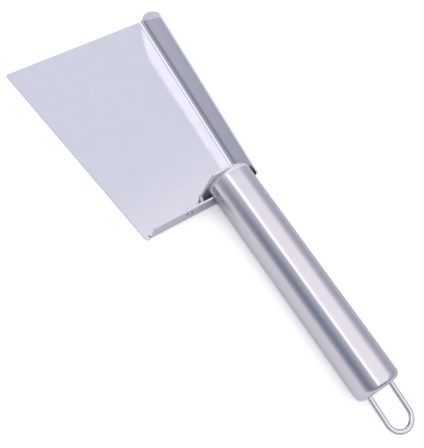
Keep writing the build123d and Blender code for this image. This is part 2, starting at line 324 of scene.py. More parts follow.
@dataclass(frozen=True)
class SteelFinish:
    """Stainless steel with a polish grain, faint clouds and a slight waviness."""

    name: str
    colour: str
    cloud_colour: str
    roughness: float
    roughness_spread: float
    grain_width_mm: float
    grain_length_mm: float
    grain_depth_mm: float
    cloud_mm: float = 22.0
    wave_mm: float = 70.0
    wave_depth_mm: float = 0.0
    metallic: float = 1.0
    grain_along: str = "Y"

    def material(self) -> bpy.types.Material:
        """Builds the node material.

        Returns:
            The material, ready to assign.
        """
        material = bpy.data.materials.new(self.name)
        material.use_nodes = True
        tree = material.node_tree
        tree.nodes.clear()
        place = add_node(tree, "ShaderNodeTexCoord").outputs["Object"]
        grain = self._grain(tree, place)
        cloud = self._cloud(tree, place)
        shader = add_node(
            tree,
            "ShaderNodeBsdfPrincipled",
            values={"Metallic": self.metallic},
            links={
                "Base Color": self._tint(tree, cloud),
                "Roughness": self._roughness(tree, grain, cloud),
                "Normal": self._relief(tree, place, grain),
            },
        )
        add_node(tree, "ShaderNodeOutputMaterial", links={"Surface": shader.outputs[0]})
        return material

    def _grain(self, tree: bpy.types.NodeTree, place: bpy.types.NodeSocket) -> bpy.types.NodeSocket:
        """Polish lines: noise stretched along one axis.

        Args:
            tree: the material's node tree.
            place: object coordinates.

        Returns:
            The grain's strength, 0 to 1.
        """
        across = 1 / (self.grain_width_mm * MM)
        along = 1 / (self.grain_length_mm * MM)
        scale = {"X": (along, across, across), "Y": (across, along, across)}[self.grain_along]
        stretched = add_node(tree, "ShaderNodeMapping", values={"Scale": scale}, links={"Vector": place})
        noise = add_node(
            tree,
            "ShaderNodeTexNoise",
            values={"Scale": 1.0, "Detail": 3.0, "Roughness": 0.6},
            links={"Vector": stretched.outputs[0]},
        )
        return noise.outputs["Fac"]

    def _cloud(self, tree: bpy.types.NodeTree, place: bpy.types.NodeSocket) -> bpy.types.NodeSocket:
        """Faint clouds left by handling and wiping.

        Args:
            tree: the material's node tree.
            place: object coordinates.

        Returns:
            The clouds' strength, 0 to 1.
        """
        noise = add_node(
            tree,
            "ShaderNodeTexNoise",
            values={"Scale": 1 / (self.cloud_mm * MM), "Detail": 4.0, "Roughness": 0.55},
            links={"Vector": place},
        )
        return noise.outputs["Fac"]

    def _tint(self, tree: bpy.types.NodeTree, cloud: bpy.types.NodeSocket) -> bpy.types.NodeSocket:
        """Colour that drifts between two greys with the clouds.

        Args:
            tree: the material's node tree.
            cloud: the clouds' strength.

        Returns:
            The colour.
        """
        mix = add_node(
            tree,
            "ShaderNodeMix",
            {"data_type": "RGBA"},
            {6: linear(self.colour), 7: linear(self.cloud_colour)},
            {0: cloud},
        )
        return mix.outputs[2]

    def _roughness(
        self, tree: bpy.types.NodeTree, grain: bpy.types.NodeSocket, cloud: bpy.types.NodeSocket
    ) -> bpy.types.NodeSocket:
        """Roughness about its mean, a little higher in the grain and the clouds.

        Args:
            tree: the material's node tree.
            grain: the grain's strength.
            cloud: the clouds' strength.

        Returns:
            The roughness.
        """
        both = add_node(tree, "ShaderNodeMath", {"operation": "ADD"}, links={0: grain, 1: cloud})
        spread = add_node(
            tree,
            "ShaderNodeMapRange",
            values={
                "From Min": 0.6,
                "From Max": 1.4,
                "To Min": self.roughness - self.roughness_spread,
                "To Max": self.roughness + self.roughness_spread,
            },
            links={"Value": both.outputs[0]},
        )
        return spread.outputs[0]

    def _relief(
        self, tree: bpy.types.NodeTree, place: bpy.types.NodeSocket, grain: bpy.types.NodeSocket
    ) -> bpy.types.NodeSocket:
        """Bump of the polish grain over the sheet's long slow waves.

        Args:
            tree: the material's node tree.
            place: object coordinates.
            grain: the grain's strength.

        Returns:
            The bumped normal.
        """
        wave = add_node(
            tree,
            "ShaderNodeTexNoise",
            values={"Scale": 1 / (self.wave_mm * MM), "Detail": 1.0},
            links={"Vector": place},
        )
        slow = add_node(
            tree,
            "ShaderNodeBump",
            values={"Strength": 1.0, "Distance": self.wave_depth_mm * MM},
            links={"Height": wave.outputs["Fac"]},
        )
        fine = add_node(
            tree,
            "ShaderNodeBump",
            values={"Strength": 1.0, "Distance": self.grain_depth_mm * MM},
            links={"Height": grain, "Normal": slow.outputs[0]},
        )
        return fine.outputs[0]


# Cold-rolled stainless sheet with a bright 2B finish: a soft mirror with faint rolling lines along
# the blade, a few smears, and a slight waviness that bends what it mirrors.
COLD_ROLLED_SHEET = SteelFinish(
    name="cold_rolled_2b_stainless_sheet",
    colour="#C8C9D1",
    cloud_colour="#C1C2CC",
    roughness=0.13,
    roughness_spread=0.03,
    grain_width_mm=0.5,
    grain_length_mm=14.0,
    grain_depth_mm=0.0012,
    cloud_mm=9.0,
    wave_depth_mm=0.10,
)

# Welded stainless tube, belt polished to a fine satin: soft-edged bands of light run its whole
# length, with fine lines that are drawn about four times coarser than real so that they show.
SATIN_TUBE = SteelFinish(
    name="satin_polished_stainless_tube",
    colour="#C7C5CC",
    cloud_colour="#C2C1C8",
    roughness=0.20,
    roughness_spread=0.04,
    grain_width_mm=0.45,
    grain_length_mm=24.0,
    grain_depth_mm=0.004,
    wave_mm=50.0,
    wave_depth_mm=0.03,
)

# Bright drawn stainless wire, barrel polished: almost a mirror, with hair-fine drawing lines.
BRIGHT_WIRE = SteelFinish(
    name="bright_drawn_stainless_wire",
    colour="#CCCCD0",
    cloud_colour="#C2C2C6",
    roughness=0.07,
    roughness_spread=0.03,
    grain_width_mm=0.3,
    grain_length_mm=4.0,
    grain_depth_mm=0.003,
    cloud_mm=6.0,
)

# Solid stainless rivet, its heads pressed smooth and then polished with the blade.
POLISHED_RIVET = SteelFinish(
    name="pressed_stainless_rivet",
    colour="#C2C2C8",
    cloud_colour="#AFAFB6",
    roughness=0.16,
    roughness_spread=0.05,
    grain_width_mm=0.25,
    grain_length_mm=0.6,
    grain_depth_mm=0.004,
    cloud_mm=1.5,
)

# Ground and pickled stainless, as left round a welded joint: pale and matt, so it gathers light
# from all round instead of mirroring what is beside it.
GROUND_STEEL = SteelFinish(
    name="ground_pickled_stainless",
    colour="#DDDDE3",
    cloud_colour="#D2D2DA",
    roughness=0.48,
    roughness_spread=0.06,
    grain_width_mm=0.35,
    grain_length_mm=3.0,
    grain_depth_mm=0.006,
    cloud_mm=5.0,
    metallic=0.65,
    grain_along="X",
)

# TIG weld bead, wire brushed: duller than the sheet, with a trace of straw-coloured heat tint.
BRUSHED_WELD = SteelFinish(
    name="brushed_tig_weld",
    colour="#A9A49C",
    cloud_colour="#8F8E98",
    roughness=0.34,
    roughness_spread=0.08,
    grain_width_mm=0.2,
    grain_length_mm=0.5,
    grain_depth_mm=0.01,
    cloud_mm=2.0,
)


def dress(
    piece: bpy.types.Object, finish: SteelFinish, body: Body, nodes: Sequence[str]
) -> bpy.types.Object:
    """Gives a piece its finish and body, and hides the CAD nodes that it stands for.

    Args:
        piece: the finished mesh object.
        finish: its surface.
        body: the CAD body that it rides on.
        nodes: the CAD nodes that it replaces.

    Returns:
        The same object.
    """
    piece.data.materials.append(finish.material())
    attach(piece, body.value)
    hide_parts(*nodes)
    LOG.info("%s: %d faces, %s", piece.name, len(piece.data.polygons), finish.name)
    return piece


# ---- the blade -------------------------------------------------------------------------


@dataclass
class BladePan:
    """The folded sheet: flat blade, leaning side wall with a swept nose, and rear flange."""

    sheet: float = SHEET
    front_left_x: float = -66.0
    rear_left_x: float = -51.7
    front_tip_r: float = 0.8
    rear_corner_r: float = 2.0
    wall_rear_x: float = 12.7
    wall_front_x: float = 20.2
    wall_lean_deg: float = 2.5
    wall_bend_r: float = 2.5
    wall_rear_h: float = 16.0
    wall_front_h: float = 20.3
    nose_back: float = 12.3
    nose_low: float = 4.5
    nose_r: float = 27.0
    flange_left_x: float = -49.2
    flange_right_x: float = -8.0
    flange_bend_r: float = 1.2
    flange_corner_r: float = 0.6
    flange_top_z: float = 12.0
    saddle_gap: float = 0.15
    relief: float = 0.4
    edge_round: float = 0.08
    low: np.ndarray = field(init=False)
    high: np.ndarray = field(init=False)

    def __post_init__(self) -> None:
        """Takes the blade's outer limits from its CAD node."""
        self.low, self.high = box_mm("blade_pan")
        self.rear_y = float(self.low[1])
        self.front_y = float(self.high[1])
        self.yaw = math.atan2(self.wall_front_x - self.wall_rear_x, self.front_y - self.rear_y)
        self.along = np.array([math.sin(self.yaw), math.cos(self.yaw)])
        self.out = np.array([math.cos(self.yaw), -math.sin(self.yaw)])
        self.turn = math.radians(90 - self.wall_lean_deg)
        self.setback = self.wall_bend_r * math.tan(self.turn / 2)
        self.fold_y = self.rear_y + self.sheet + self.flange_bend_r

    def left_edge(self, y: np.ndarray) -> np.ndarray:
        """X of the blade's left edge: a slanted line with a rounded corner at each end.

        Args:
            y: places along the blade.

        Returns:
            X for each.
        """
        run = self.front_y - self.rear_y
        slope = (self.front_left_x - self.rear_left_x) / run
        line = self.rear_left_x + slope * (y - self.rear_y)
        stretch = math.hypot(1, slope)
        edge = line
        for radius, centre_y, side in (
            (self.rear_corner_r, self.rear_y + self.rear_corner_r, -1),
            (self.front_tip_r, self.front_y - self.front_tip_r, 1),
        ):
            centre_x = self.rear_left_x + slope * (centre_y - self.rear_y) + radius * stretch
            touch_y = centre_y + radius * slope / stretch
            drop = np.sqrt(np.clip(radius**2 - (y - centre_y) ** 2, 0, None))
            edge = np.where(side * (y - touch_y) > 0, centre_x - drop, edge)
        return edge

    def wall_top(self, distance: np.ndarray) -> np.ndarray:
        """Height of the wall's edge up its face: a straight rise, then a round swept nose.

        Args:
            distance: how far along the fold from the rear.

        Returns:
            Height for each.
        """
        length = (self.front_y - self.rear_y) / self.along[1]
        distance = np.clip(distance, 0, length)
        nose_x = length - self.nose_back
        rise = (self.wall_front_h - self.wall_rear_h) / length
        straight = self.wall_rear_h + rise * distance
        start = np.array([nose_x, self.wall_rear_h + rise * nose_x])
        chord = np.array([length, self.nose_low]) - start
        reach = np.linalg.norm(chord)
        inward = np.array([chord[1], -chord[0]]) / reach
        centre = start + chord / 2 + inward * math.sqrt(self.nose_r**2 - (reach / 2) ** 2)
        curve = centre[1] + np.sqrt(self.nose_r**2 - (distance - centre[0]) ** 2)
        return np.where(distance > nose_x, curve, straight)

    def row_places(self) -> tuple[np.ndarray, np.ndarray]:
        """Y of the grid's rows: those behind the flange's fold and those ahead of it.

        Returns:
            Rear rows and front rows; they share the row at the fold.
        """
        ease = (1 - np.cos(np.linspace(0, math.pi / 2, 9))) * self.rear_corner_r
        rear = np.append(self.rear_y + ease, self.fold_y)
        tip = self.front_y - self.front_tip_r * (1 - np.sin(np.linspace(0, math.pi / 2, 6)))
        nose_y = self.front_y - self.nose_back
        front = [np.linspace(self.fold_y, nose_y, 70), np.linspace(nose_y, tip[0], 34)[1:], tip[1:]]
        return rear, np.concatenate(front)

    def bend_start(self, y: np.ndarray) -> np.ndarray:
        """X at which the flat blade ends and the wall's bend begins."""
        distance = (y - self.rear_y + self.out[1] * self.setback) / self.along[1]
        return self.wall_rear_x + self.along[0] * distance - self.out[0] * self.setback

    def wall_patch(self, y: np.ndarray) -> Patch:
        """Bend and wall: the fold's section carried along the fold line, cut at each row's y.

        A section point p out from the sharp corner and h above the blade lies, at row y,
        (y - rear - out_y p) / along_y along the fold.

        Args:
            y: places of the rows.

        Returns:
            The patch.
        """
        angle = np.linspace(0, self.turn, 15)
        bend_p = -self.setback + self.wall_bend_r * np.sin(angle)
        bend_h = self.wall_bend_r * (1 - np.cos(angle))
        top = self.wall_top((y - self.rear_y) / self.along[1])
        share = np.linspace(0, 1, 18)[1:]
        leg = self.setback + share[None, :] * (top[:, None] - self.setback)
        bend_p = np.broadcast_to(bend_p, (len(y), len(angle)))
        bend_h = np.broadcast_to(bend_h, (len(y), len(angle)))
        p = np.concatenate([bend_p, leg * math.cos(self.turn)], axis=1)
        h = np.concatenate([bend_h, leg * math.sin(self.turn)], axis=1)
        distance = (y[:, None] - self.rear_y - self.out[1] * p) / self.along[1]
        x = self.wall_rear_x + self.along[0] * distance + self.out[0] * p
        rows = np.broadcast_to(y[:, None], x.shape)
        return Patch(np.stack([x, rows, self.sheet + h], axis=-1))

    def flat_patch(self, y: np.ndarray, left: np.ndarray, right: np.ndarray, share: np.ndarray) -> Patch:
        """Flat cells between a left and a right line, at the given shares of the way across.

        Args:
            y: places of the rows.
            left: X of the left line, one a row.
            right: X of the right line, one a row.
            share: places of the columns, from 0 to 1.

        Returns:
            The patch.
        """
        x = left[:, None] + share[None, :] * (right - left)[:, None]
        rows = np.broadcast_to(y[:, None], x.shape)
        return Patch(np.stack([x, rows, np.full_like(x, self.sheet)], axis=-1))

    def flange_patch(self, share: np.ndarray, tube_r: float, tube_z: float) -> Patch:
        """Flange: its bend and its upright face, with the right end saddled round the tube.

        Args:
            share: places of the columns between the flange's two ends, from 0 to 1.
            tube_r: the tube's radius.
            tube_z: height of the tube's centre line.

        Returns:
            The patch, rows from its top edge down to the blade.
        """
        angle = np.linspace(math.pi / 2, 0, 9)
        bend_y = self.fold_y - self.flange_bend_r * np.sin(angle)
        bend_z = self.sheet + self.flange_bend_r * (1 - np.cos(angle))
        corner_z = self.flange_top_z - self.flange_corner_r
        straight_z = np.linspace(bend_z[0], corner_z, 24)[1:]
        up_z = np.append(straight_z, corner_z + self.flange_corner_r * CORNER_EASE)
        z = np.concatenate([up_z[::-1], bend_z])
        y = np.concatenate([np.full(len(up_z), bend_y[0]), bend_y])
        over = np.clip(z - corner_z, 0, self.flange_corner_r)
        left = self.flange_left_x + self.flange_corner_r - np.sqrt(self.flange_corner_r**2 - over**2)
        saddle_r = tube_r + self.saddle_gap
        saddle = -np.sqrt(np.clip(saddle_r**2 - (z - tube_z) ** 2, 0, None))
        right = np.minimum(self.flange_right_x, saddle)
        x = left[:, None] + share[None, :] * (right - left)[:, None]
        return Patch(np.stack(np.broadcast_arrays(x, y[:, None], z[:, None]), axis=-1))

    def build(self, tube_r: float, tube_z: float) -> bpy.types.Object:
        """Joins the patches into one sheet and gives it its thickness and eased edges.

        Args:
            tube_r: the tube's radius.
            tube_z: height of the tube's centre line.

        Returns:
            The finished piece.
        """
        rear, front = self.row_places()
        left_cut = self.flange_left_x - self.relief
        right_cut = self.flange_right_x + self.relief
        edge = float(self.left_edge(np.array([self.fold_y]))[0])
        bend = float(self.bend_start(np.array([self.fold_y]))[0])
        left_x = np.linspace(edge, left_cut, 5)
        middle_x = np.linspace(self.flange_left_x, self.flange_right_x, 42)
        right_x = np.linspace(right_cut, bend, 18)
        columns = np.concatenate([left_x, middle_x, right_x])

        def shares(x: np.ndarray) -> np.ndarray:
            """Places as shares of the way from the first to the last."""
            return (x - x[0]) / (x[-1] - x[0])

        cut_left = np.full(len(rear), left_cut)
        cut_right = np.full(len(rear), right_cut)
        patches = [
            self.flat_patch(front, self.left_edge(front), self.bend_start(front), shares(columns)),
            self.flat_patch(rear, self.left_edge(rear), cut_left, shares(left_x)),
            self.flat_patch(rear, cut_right, self.bend_start(rear), shares(right_x)),
            self.wall_patch(np.concatenate([rear, front[1:]])),
            self.flange_patch(shares(middle_x), tube_r, tube_z),
        ]
        piece = make_piece("folded_blade", patches)
        solid = piece.modifiers.new("sheet_thickness", "SOLIDIFY")
        solid.thickness = self.sheet * MM
        solid.offset = -1.0
        solid.use_even_offset = True
        ease = piece.modifiers.new("eased_edges", "BEVEL")
        ease.width = self.edge_round * MM
        ease.segments = 2
        ease.limit_method = "ANGLE"
        ease.angle_limit = math.radians(50)
        normals = piece.modifiers.new("flat_faces_stay_flat", "WEIGHTED_NORMAL")
        normals.keep_sharp = True
        return dress(piece, COLD_ROLLED_SHEET, Body.SPATULA, ["blade_pan"])


# ---- the handle ------------------------------------------------------------------------


@dataclass
class Handle:
    """Round tube with a drawn cap at each end; the rear cap has the loop's slot."""

    wall: float = 1.0
    front_edge_r: float = 2.4
    rear_edge_r: float = 3.6
    crown: float = 0.35
    slot_length: float = 17.4
    slot_height: float = 3.66
    round_steps: int = 192
    slot_crowding: float = 0.33

    def __post_init__(self) -> None:
        """Takes the handle's size and place from its CAD nodes."""
        low, high = box_mm("handle_tube")
        self.tube_rear_y = float(low[1])
        self.tube_front_y = float(high[1])
        self.radius = float(high[0] - low[0]) / 2
        self.axis = (float(high[0] + low[0]) / 2, float(high[2] + low[2]) / 2)
        self.rear_y = float(box_mm("handle_end_cap")[0][1])
        self.front_y = float(box_mm("handle_front_cap")[1][1])

    def angles(self, crowding: float = 0.0) -> np.ndarray:
        """Angles round the handle, closer together by the slot's ends when crowding is above 0."""
        even = np.linspace(0, 2 * math.pi, self.round_steps, endpoint=False)
        return even - crowding * np.sin(2 * even)

    def tube(self) -> bpy.types.Object:
        """The tube: a rectangle of wall section turned about the axis.

        Returns:
            The finished piece.
        """
        run = np.linspace(self.tube_rear_y, self.tube_front_y, 40)
        y = np.concatenate([run[::-1], run])
        r = np.concatenate([np.full(len(run), self.radius), np.full(len(run), self.radius - self.wall)])
        grid = turned(y, r, self.axis, self.angles())
        piece = make_piece("satin_tube", [Patch(grid, wrap_rows=True, wrap_columns=True)])
        return dress(piece, SATIN_TUBE, Body.SPATULA, ["handle_tube"])

    def slot_edge(self, angle: np.ndarray) -> np.ndarray:
        """Distance from the axis to the slot's edge: two flats joined by round ends.

        On a flat it is half the height over |sin a|. On a round end it is
        s |cos a| + sqrt(h h - s s sin a sin a), where s is the end's centre and h its radius.

        Args:
            angle: angles round the axis.

        Returns:
            The distance for each.
        """
        half = self.slot_height / 2
        centre = self.slot_length / 2 - half
        across = np.abs(np.cos(angle))
        up = np.abs(np.sin(angle))
        flat = half / np.maximum(up, 1e-9)
        end = centre * across + np.sqrt(np.clip(half**2 - (centre * up) ** 2, 0, None))
        return np.where(flat * across <= centre, flat, end)

    def cap_grid(
        self,
        open_y: float,
        end_y: float,
        edge_r: float,
        crown: float,
        hole: np.ndarray,
        angle: np.ndarray,
    ) -> Patch:
        """A drawn cap: wall, rounded edge and a slightly domed face with a hole.

        The face's height above its rim is crown (1 - (r / rim)^2). The inner skin is the outer one
        moved in by the wall's thickness.

        Args:
            open_y: where the cap meets the tube.
            end_y: the middle of its face.
            edge_r: outer radius of the rounded edge.
            crown: rise of the face from its rim to its middle.
            hole: distance from the axis to the hole's edge, for each angle.
            angle: the angles.

        Returns:
            The closed shell.
        """
        way = 1.0 if end_y > open_y else -1.0
        depth = abs(end_y - open_y)

        def skin(radius: float, deep: float, edge: float) -> tuple[np.ndarray, np.ndarray]:
            """Depths and distances from the open end to the hole's edge, a column an angle.

            Args:
                radius: of its side.
                deep: from the open end to the middle of the face.
                edge: radius of its rounded edge.

            Returns:
                Depths and distances from the axis.
            """
            bend = arc((deep - crown - edge, radius - edge), edge, 90, 0)
            side_depth = np.concatenate([[0.0], bend[:, 0]])
            side_r = np.concatenate([[radius], bend[:, 1]])
            rim = radius - edge
            share = np.linspace(0, 1, 20)[1:, None]
            face_r = rim + share * (hole[None, :] - rim)
            face_depth = deep - crown + crown * (1 - (face_r / rim) ** 2)
            wide = np.ones((1, len(angle)))
            return (
                np.concatenate([side_depth[:, None] * wide, face_depth]),
                np.concatenate([side_r[:, None] * wide, face_r]),
            )

        outer_depth, outer_r = skin(self.radius, depth, edge_r)
        inner_depth, inner_r = skin(self.radius - self.wall, depth - self.wall, edge_r - self.wall)
        deep = np.concatenate([outer_depth, inner_depth[::-1]])
        r = np.concatenate([outer_r, inner_r[::-1]])
        grid = turned(open_y + way * deep, r, self.axis, angle)
        if way < 0:
            grid = grid[:, ::-1]
        return Patch(grid[:, ::-1], wrap_rows=True, wrap_columns=True)

    def front_cap(self) -> bpy.types.Object:
        """The cap behind the bracket, its face flat and closed.

        Returns:
            The finished piece.
        """
        angle = self.angles()
        no_hole = np.zeros(len(angle))
        patch = self.cap_grid(self.tube_front_y, self.front_y, self.front_edge_r, 0.0, no_hole, angle)
        patch.wrap_rows = False
        rows = len(patch.points) // 2
        patch.points = np.concatenate([patch.points[rows:], patch.points[:rows]])
        piece = make_piece("front_cap", [patch])
        return dress(piece, SATIN_TUBE, Body.SPATULA, ["handle_front_cap"])

    def end_cap(self) -> bpy.types.Object:
        """The rear cap with the slot.

        Returns:
            The finished piece.
        """
        angle = self.angles(crowding=self.slot_crowding)
        patch = self.cap_grid(
            self.tube_rear_y, self.rear_y, self.rear_edge_r, self.crown, self.slot_edge(angle), angle
        )
        piece = make_piece("slotted_end_cap", [patch])
        return dress(piece, SATIN_TUBE, Body.SPATULA, ["handle_end_cap"])

    def build(self) -> list[bpy.types.Object]:
        """Builds the tube and its two caps."""
        return [self.tube(), self.front_cap(), self.end_cap()]


# ---- the bracket -----------------------------------------------------------------------


@dataclass
class Bracket:
    """Bulkhead across the handle's front end, its joggled leg, and the rivet through the flange."""

    sheet: float = SHEET
    thickness: float = 1.2
    top_left_x: float = -12.2
    foot_left_x: float = -15.2
    right_x: float = 11.8
    foot_r: float = 3.4
    corner_r: float = 0.8
    shoulder_r: float = 16.0
    leg_end_x: float = -33.5
    leg_low_z: float = 3.0
    leg_high_z: float = 9.4
    leg_bend_r: float = 1.0
    joggle_x: float = -14.4
    joggle_run: float = 2.0
    neck_x: float = -17.8
    neck_run: float = 0.5
    neck_top_z: float = 5.0
    edge: float = 0.15
    rivet_x: float = -26.7
    rivet_z: float = 6.8
    head_r: float = 2.1
    head_h: float = 1.1
    shank_r: float = 1.35
    clench_spread: float = 0.9
    clench_rise: float = 0.8
    leg_root: float = 0.9
    leg_skim: float = 0.02
    foot_corner_r: float = 0.05

    def bulkhead(self, top_z: float) -> Patch:
        """Upright plate: its outline in X and Z, carried through the thickness with eased rims.

        Args:
            top_z: the top of the handle.

        Returns:
            The closed patch.
        """
        corners = [
            (self.foot_left_x, self.sheet),
            (self.right_x, self.sheet),
            (self.right_x, top_z),
            (self.top_left_x, top_z),
        ]
        radii = [self.foot_corner_r, self.foot_r, self.shoulder_r, self.corner_r]
        outline = rounded_line(corners, radii, closed=True)
        step = np.roll(outline, -1, axis=0) - np.roll(outline, 1, axis=0)
        step = step / np.linalg.norm(step, axis=1, keepdims=True)
        inset = outline + self.edge * np.stack([-step[:, 1], step[:, 0]], axis=1)
        middle = np.broadcast_to(outline.mean(axis=0), outline.shape)
        rings = [middle, inset, outline, outline, inset, middle]
        depth = [0.0, 0.0, self.edge, self.thickness - self.edge, self.thickness, self.thickness]
        rows = [
            np.stack([ring[:, 0], np.full(len(ring), y), ring[:, 1]], axis=1) for ring, y in zip(rings, depth)
        ]
        return Patch(np.stack(rows)[:, ::-1], wrap_columns=True)

    def leg(self, rear_y: float) -> Patch:
        """Leg: a strip's section carried along its plan line, which steps back to the flange.

        Right of the neck's start its heights are scaled down to the neck's.

        Args:
            rear_y: the blade's rear edge.

        Returns:
            The closed patch.
        """
        near_y = self.thickness / 2
        flange_y = rear_y + self.sheet + self.thickness / 2
        corners = [
            (self.joggle_x + self.leg_root, near_y),
            (self.joggle_x, near_y),
            (self.joggle_x - self.joggle_run, flange_y),
            (self.leg_end_x, flange_y),
        ]
        path = rounded_line(corners, [0, self.leg_bend_r, self.leg_bend_r, 0], closed=False)
        half = self.thickness / 2 - self.leg_skim
        low, high = self.leg_low_z, self.leg_high_z
        rectangle = [(-half, low), (half, low), (half, high), (-half, high)]
        section = rounded_line(rectangle, [self.edge] * 4, closed=True)
        between = np.linspace(path[-2], path[-1], 40)[1:-1]
        path = np.concatenate([path[:-1], between, path[-1:]])
        grid = close_ends(sweep_flat(path, section))
        right = np.clip((grid[..., 0] - self.neck_x) / self.neck_run, 0, 1)
        top = high + (self.neck_top_z - high) * right
        grid[..., 2] = low + (grid[..., 2] - low) * (top - low) / (high - low)
        return Patch(grid[:, ::-1], wrap_columns=True)

    def rivet(self, rear_y: float) -> bpy.types.Object:
        """Rivet: a domed head, a shank and a lower clenched head, turned about its own line.

        A dome's radius falls from the rim to its middle along an arc of a circle.

        Args:
            rear_y: the blade's rear edge.

        Returns:
            The finished piece.
        """
        grip_end = rear_y + self.sheet + self.thickness
        rise = np.linspace(0, math.pi / 2, 14)
        outer_y = rear_y - self.head_h * np.cos(rise)
        outer_r = self.head_r * np.sin(rise)
        inner_y = grip_end + self.clench_rise * self.head_h * np.cos(rise[::-1])
        inner_r = self.clench_spread * self.head_r * np.sin(rise[::-1])
        y = np.concatenate([outer_y, [rear_y, grip_end], inner_y])
        r = np.concatenate([outer_r, [self.shank_r, self.shank_r], inner_r])
        angle = np.linspace(0, 2 * math.pi, 64, endpoint=False)
        grid = turned(y, r, (self.rivet_x, self.rivet_z), angle)
        piece = make_piece("bracket_rivet_heads", [Patch(grid, wrap_columns=True)])
        return dress(piece, POLISHED_RIVET, Body.SPATULA, ["bracket_rivet"])

    def build(self, rear_y: float, top_z: float) -> list[bpy.types.Object]:
        """Builds the bracket and its rivet.

        Args:
            rear_y: the blade's rear edge.
            top_z: the top of the handle.

        Returns:
            The two pieces.
        """
        piece = make_piece("joggled_bracket", [self.bulkhead(top_z), self.leg(rear_y)])
        dress(piece, GROUND_STEEL, Body.SPATULA, ["handle_bracket"])
        return [piece, self.rivet(rear_y)]


# ---- the loop --------------------------------------------------------------------------


@dataclass
class HangingLoop:
    """Bent wire: feet turned out behind the cap's slot, two legs and a round bow."""

    wire_r: float = 1.45
    spacing: float = 14.0
    reach: float = 23.0
    droop_deg: float = 5.0
    pivot_depth: float = 3.6
    foot_reach: float = 9.9
    foot_bend_r: float = 1.6
    end_round: float = 0.25

    def build(self, rear_y: float, axis_z: float) -> bpy.types.Object:
        """Carries the wire's round section along its line and lets it hang by the droop.

        Args:
            rear_y: the handle's end face.
            axis_z: height of the handle's centre line.

        Returns:
            The finished piece.
        """
        half = self.spacing / 2
        bow_y = -(self.pivot_depth + self.reach - self.wire_r - half)
        foot = rounded_line(
            [(-self.foot_reach, 0), (-half, 0), (-half, bow_y)], [0, self.foot_bend_r, 0], closed=False
        )
        legs = np.linspace(foot[-2], foot[-1], 12)[1:-1]
        left = np.concatenate([foot[:-1], legs])
        bow = arc((0, bow_y), half, 180, 270)
        bow = np.concatenate([bow, arc((0, bow_y), half, 270, 360)[1:]])
        right = left[::-1] * np.array([-1, 1])
        path = np.concatenate([left, bow, right])
        grid = sweep_flat(path, circle(self.wire_r, 40))
        ease = 1 - self.end_round / self.wire_r
        shapes = []
        for end_row in (grid[:1], grid[-1:]):
            middle = end_row.mean(axis=1, keepdims=True)
            shapes.append(middle + (end_row - middle) * ease)
        inner = grid[1:-1]
        start = grid[:1] + np.array([self.end_round, 0, 0])
        end = grid[-1:] - np.array([self.end_round, 0, 0])
        grid = close_ends(np.concatenate([shapes[0], start, inner, end, shapes[1]]))
        droop = math.radians(self.droop_deg)
        y = grid[..., 1] * math.cos(droop) - grid[..., 2] * math.sin(droop)
        z = grid[..., 1] * math.sin(droop) + grid[..., 2] * math.cos(droop)
        place = np.stack([grid[..., 0], y + rear_y + self.pivot_depth, z + axis_z], axis=-1)
        piece = make_piece("wire_loop", [Patch(place[:, ::-1], wrap_columns=True)])
        return dress(piece, BRIGHT_WIRE, Body.LOOP, ["hanging_loop"])


# ---- welds -----------------------------------------------------------------------------


